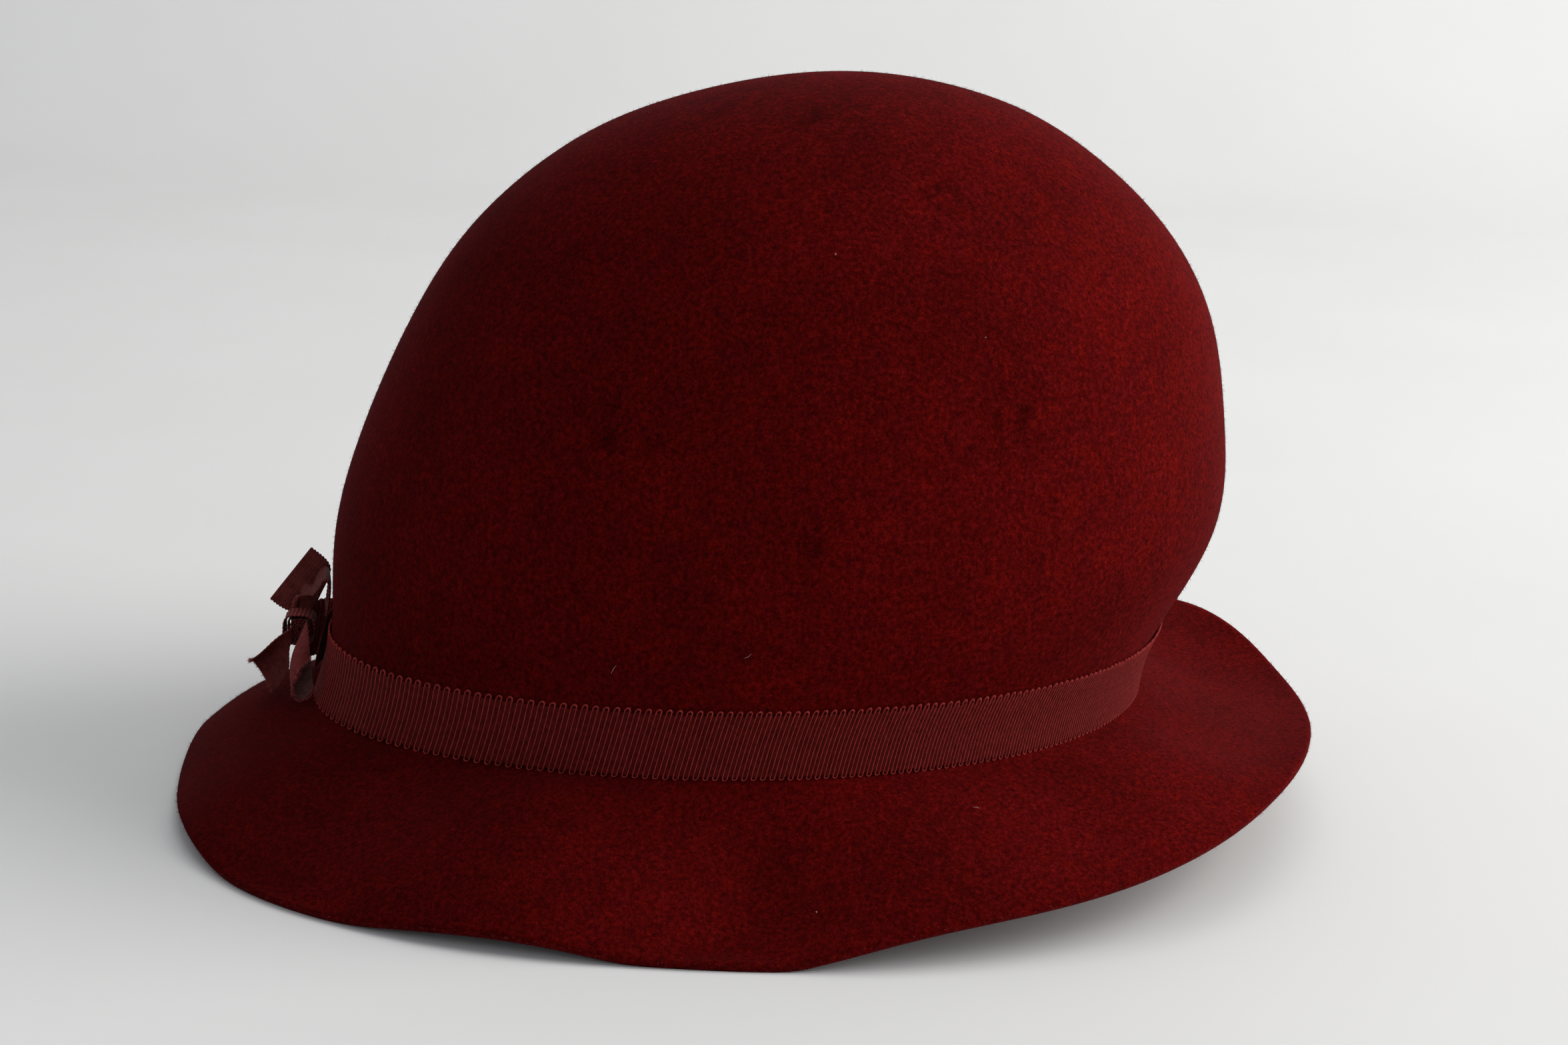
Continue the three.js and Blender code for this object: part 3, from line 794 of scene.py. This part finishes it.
def felt_material():
    """Dark wine velour: fine mottled nap, brushed patches, a faint sheen at grazing angles and painted
    shade towards -y.
    """
    shaded_side_y, lit_side_y = -0.11, 0.08
    material, tree, shader = new_material("velour_felt")
    patches = ramp_node(tree, noise_node(tree, 38, 4, 0.6), [(0.34, (0.7, 0.7, 0.7)), (0.66, (1, 1, 1))])
    clumps = ramp_node(
        tree,
        noise_node(tree, 950, 5, 0.7),
        [(0.34, (0.066, 0.0012, 0.0015)), (0.5, (0.135, 0.0026, 0.0028)), (0.66, (0.215, 0.0062, 0.0062))],
    )
    dye = ramp_node(tree, noise_node(tree, 190, 5, 0.75), [(0.38, (0.82, 0.85, 1)), (0.62, (1, 1, 0.65))])
    speckle = ramp_node(tree, noise_node(tree, 2400, 3, 0.7), [(0.38, (0.5, 0.48, 0.5)), (0.62, (1, 1, 1))])
    color = mix_node(tree, "MULTIPLY", 0.8, clumps, patches)
    color = mix_node(tree, "MULTIPLY", 1.0, color, dye)
    color = mix_node(tree, "MULTIPLY", 0.85, color, speckle)
    brushed = None
    for x, y, z, radius in NAP_PATCHES:
        patch = patch_node(tree, (x, y, z), radius)
        brushed = patch if brushed is None else math_node(tree, "MAXIMUM", brushed, patch)
    ragged = ramp_node(tree, noise_node(tree, 210, 5, 0.7), [(0.44, (0, 0, 0)), (0.6, (1, 1, 1))])
    brushed = math_node(tree, "MULTIPLY", brushed, ragged)
    # Painted shade: the colour is multiplied down to about 0.6 towards -y, the side turned away from the
    # window light. lean below is this painted shade, not a lean of the nap.
    place = tree.nodes.new("ShaderNodeTexCoord")
    parts = tree.nodes.new("ShaderNodeSeparateXYZ")
    tree.links.new(place.outputs["Object"], parts.inputs["Vector"])
    side_shade_share = tree.nodes.new("ShaderNodeMapRange")
    side_shade_share.inputs["From Min"].default_value = shaded_side_y
    side_shade_share.inputs["From Max"].default_value = lit_side_y
    tree.links.new(parts.outputs["Y"], side_shade_share.inputs["Value"])
    lean = ramp_node(
        tree,
        side_shade_share.outputs["Result"],
        [(0, (0.6, 0.54, 0.58)), (0.55, (0.82, 0.8, 0.8)), (1, (1, 1, 1))],
    )
    color = mix_node(tree, "MULTIPLY", 1.0, color, lean)
    dark = ramp_node(tree, brushed, [(0, (1, 1, 1)), (1, (0.6, 0.5, 0.5))])
    color = mix_node(tree, "MULTIPLY", 1.0, color, dark)
    tree.links.new(color, shader.inputs["Base Color"])
    shader.inputs["Roughness"].default_value = 0.95
    shader.inputs["Specular IOR Level"].default_value = 0.02
    shader.inputs["Sheen Weight"].default_value = 0.05
    shader.inputs["Sheen Roughness"].default_value = 0.35
    shader.inputs["Sheen Tint"].default_value = (1.0, 0.12, 0.16, 1)
    first = bump_node(tree, noise_node(tree, 700, 4, 0.7), 0.35, 0.0006, shader)
    bump_node(tree, noise_node(tree, 2300, 3, 0.6), 0.4, 0.0003, shader, first)
    return material


def fibre_material(name, color, sheen):
    """Loose fibres in one plain dye."""
    material, tree, shader = new_material(name)
    low = tuple(0.75 * part for part in color)
    tint = ramp_node(tree, noise_node(tree, 900, 2), [(0.35, low), (0.65, color)])
    tree.links.new(tint, shader.inputs["Base Color"])
    shader.inputs["Roughness"].default_value = 0.9
    shader.inputs["Specular IOR Level"].default_value = 0.03
    shader.inputs["Sheen Weight"].default_value = sheen
    shader.inputs["Sheen Tint"].default_value = (1.0, 0.2, 0.25, 1)
    return material


def cloth_material(name, scale, dark, light, roughness, gloss, grain):
    """A mottled woven cloth: noise scale, its two colours, its gloss and the depth of its grain."""
    material, tree, shader = new_material(name)
    color = ramp_node(tree, noise_node(tree, scale, 3, 0.6), [(0.35, dark), (0.66, light)])
    tree.links.new(color, shader.inputs["Base Color"])
    shader.inputs["Roughness"].default_value = roughness
    shader.inputs["Specular IOR Level"].default_value = gloss
    bump_node(tree, noise_node(tree, 2600, 3, 0.6), grain, 0.0003, shader)
    return material


def ribbon_sheet_material():
    """The dull burgundy ground of the petersham."""
    dark, light = (0.050, 0.0028, 0.0024), (0.085, 0.0055, 0.0048)
    return cloth_material("petersham_sheet", 700, dark, light, 0.8, 0.05, 0.35)


def ribbon_yarn_material():
    """The weft: a brighter red cord with a twisted thread's small glints."""
    dark, light = (0.19, 0.015, 0.013), (0.32, 0.033, 0.029)
    return cloth_material("petersham_weft", 1200, dark, light, 0.7, 0.1, 0.3)


def bow_sheet_lit_material():
    """The bow's smoother ground, painted lighter than the band's: painted light for the light it catches.
    """
    dark, light = (0.080, 0.010, 0.0090), (0.130, 0.021, 0.019)
    return cloth_material("petersham_bow_lit", 800, dark, light, 0.7, 0.12, 0.35)


def bow_rib_material():
    """The crests of the bow's ribs, where the weft shows through."""
    dark, light = (0.18, 0.024, 0.022), (0.30, 0.055, 0.050)
    return cloth_material("petersham_rib", 900, dark, light, 0.7, 0.15, 0.4)


def ribbon_inside_material():
    """The faded brown inner face of the folded tail."""
    dark, light = (0.060, 0.022, 0.018), (0.105, 0.045, 0.038)
    return cloth_material("petersham_inside", 800, dark, light, 0.8, 0.12, 0.4)


def floor_material():
    """Plain pale matt table and backdrop."""
    material, tree, shader = new_material("pale_floor")
    dull, pale = (0.79, 0.788, 0.775), (0.81, 0.808, 0.798)
    tint = ramp_node(tree, noise_node(tree, 6, 2), [(0.3, dull), (0.7, pale)])
    tree.links.new(tint, shader.inputs["Base Color"])
    shader.inputs["Roughness"].default_value = 0.7
    return material


# Setting
def make_floor():
    """A pale floor that sweeps up into a backdrop behind the hat."""
    half_width, near, far, sweep, tall = 4.0, 3.0, -1.1, 0.35, 2.6
    profile = [(near, 0.0), (far, 0.0)]
    for i in range(1, 13):
        angle = math.radians(i * 90 / 12)
        profile.append((far - sweep * math.sin(angle), sweep * (1 - math.cos(angle))))
    profile.append((far - sweep, tall))
    points = [(x, side * half_width, z) for side in (-1, 1) for x, z in profile]
    faces = grid_faces(2, len(profile)).tolist()
    mesh = bpy.data.meshes.new("floor")
    mesh.from_pydata(points, [], faces)
    mesh.polygons.foreach_set("use_smooth", [True] * len(mesh.polygons))
    mesh.materials.append(floor_material())
    floor = bpy.data.objects.new("floor", mesh)
    bpy.context.scene.collection.objects.link(floor)


def make_light(name, place, size, power, color):
    """A soft square light aimed at the middle of the hat."""
    aim = Vector((0, 0, 0.08))
    light = bpy.data.lights.new(name, "AREA")
    light.size = size
    light.energy = power
    light.color = color
    made = bpy.data.objects.new(name, light)
    made.location = place
    made.rotation_euler = (aim - Vector(place)).to_track_quat("-Z", "Y").to_euler()
    bpy.context.scene.collection.objects.link(made)


def make_lights():
    """Soft window light from the right, light from the ceiling and a weak fill by the camera."""
    make_light("window", (0.1, 1.75, 1.0), 1.6, 38, (1.0, 0.99, 0.97))
    make_light("ceiling", (-0.2, 0.5, 1.9), 2.0, 9, (1.0, 0.99, 0.96))
    make_light("fill", (1.6, 0.1, 0.9), 1.2, 3, (0.97, 0.98, 1.0))
    world = bpy.data.worlds.new("studio")
    world.use_nodes = True
    background = world.node_tree.nodes["Background"]
    background.inputs["Color"].default_value = (0.9, 0.93, 1.0, 1)
    background.inputs["Strength"].default_value = 0.34
    bpy.context.scene.world = world


def make_camera():
    """The photo's camera."""
    bpy.context.scene.view_settings.view_transform = "Standard"
    level = math.cos(CAMERA_ELEVATION)
    x, y = level * math.cos(CAMERA_TURN), level * math.sin(CAMERA_TURN)
    back = Vector((x, y, math.sin(CAMERA_ELEVATION)))
    right = Vector((0, 0, 1)).cross(back).normalized()
    up = back.cross(right)
    rolled_right = right * math.cos(CAMERA_ROLL) + up * math.sin(CAMERA_ROLL)
    rolled_up = up * math.cos(CAMERA_ROLL) - right * math.sin(CAMERA_ROLL)
    data = bpy.data.cameras.new("camera")
    data.sensor_width = 36
    data.lens = CAMERA_LENS
    data.clip_start = 0.01
    camera = bpy.data.objects.new("camera", data)
    facing = Matrix((rolled_right, rolled_up, back)).transposed().to_4x4()
    target = Vector((CAMERA_TARGET - HAT_MIDDLE) * MM)
    camera.matrix_world = Matrix.Translation(target + back * CAMERA_DISTANCE) @ facing
    bpy.context.scene.collection.objects.link(camera)
    bpy.context.scene.camera = camera


def place(pieces, slot_name, *nodes):
    """Rides pieces on the hat and hides the CAD nodes that they stand in for. slot_name is not used."""
    for piece in pieces:
        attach(piece, "root")
    if nodes:
        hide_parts(*nodes)


outer_face, inner_face, outward_face, tip_point = felt_rings(turns=360, crown_rings=120, brim_rings=44)
outline = np.concatenate([outer_face, inner_face]).reshape(-1, 3)
HAT_MIDDLE = np.append((outline[:, :2].min(axis=0) + outline[:, :2].max(axis=0)) / 2, 0)

make_camera()
make_lights()
make_floor()

felt_look = felt_material()
nap_look = fibre_material("nap", (0.10, 0.0042, 0.0052), 0.0)
fuzz_look = fibre_material("edge_fuzz", (0.22, 0.045, 0.05), 0.1)
fray_look = fibre_material("frayed_thread", (0.34, 0.065, 0.07), 0.1)
sheet_look = ribbon_sheet_material()
weft_look = ribbon_yarn_material()
inside_look = ribbon_inside_material()
# The bow's ground carries painted light: the band's ribbon coloured lighter.
bow_lit_look = bow_sheet_lit_material()
rib_look = bow_rib_material()
ribbed_looks = (bow_lit_look, rib_look, bow_lit_look)
tail_looks = (bow_lit_look, rib_look, inside_look)

lint_look = fibre_material("lint", (0.42, 0.24, 0.24), 0.0)
felt_pieces = [make_felt(felt_look), make_nap(nap_look), make_edge_fuzz(fuzz_look), make_lint(lint_look)]
place(felt_pieces, "felt", "felt_hood")
band, band_weft = make_band((sheet_look, weft_look))
place([band, band_weft], "ribbon", "petersham_band")
place([make_knot(ribbed_looks), make_knot_core(ribbed_looks)], "ribbon", "bow_knot")
frays = {
    "near_tail": make_fray("near_fray", NEAR_TAIL, NEAR_TAIL_SLANT, 420, 1.3, fray_look),
    "far_tail": make_fray("far_fray", FAR_TAIL, FAR_TAIL_SLANT, 300, 1.2, fray_look),
}
# The bow's strips: table, slant of the cut end, rib pitch and swell, looks, flat width and length
# of the model, and area. Real ribbon is a rectangle that bunches in the knot. These strips narrow
# there instead, and three of them hold under 0.7 of a rectangle's cloth, which is too little. Their
# area is the modelled one, not a cut's, so the size test says nothing about those three.
for name, rows, slant, pitch, swell, looks, flat, modelled_area in (
    ("upper_loop", UPPER_LOOP, 0, 0.95, 0.16, ribbed_looks, (14, 30.2), None),
    ("upper_tail", UPPER_TAIL, 0, 0.8, 0.05, ribbed_looks, (16.4, 18.2), 178),
    ("far_loop", FAR_LOOP, 0, 0.95, 0.12, ribbed_looks, (14.4, 34.9), None),
    ("near_tail", NEAR_TAIL, NEAR_TAIL_SLANT, 0.95, 0.17, tail_looks, (13.8, 22.3), 183),
    ("far_tail", FAR_TAIL, FAR_TAIL_SLANT, 0.85, 0.1, ribbed_looks, (14.4, 14.8), 124),
):
    strip = make_strip(name, rows, slant, pitch, swell, looks)
    with_pieces = [frays[name]] if name in frays else []
    place([strip, *with_pieces], "ribbon", "bow_" + name)
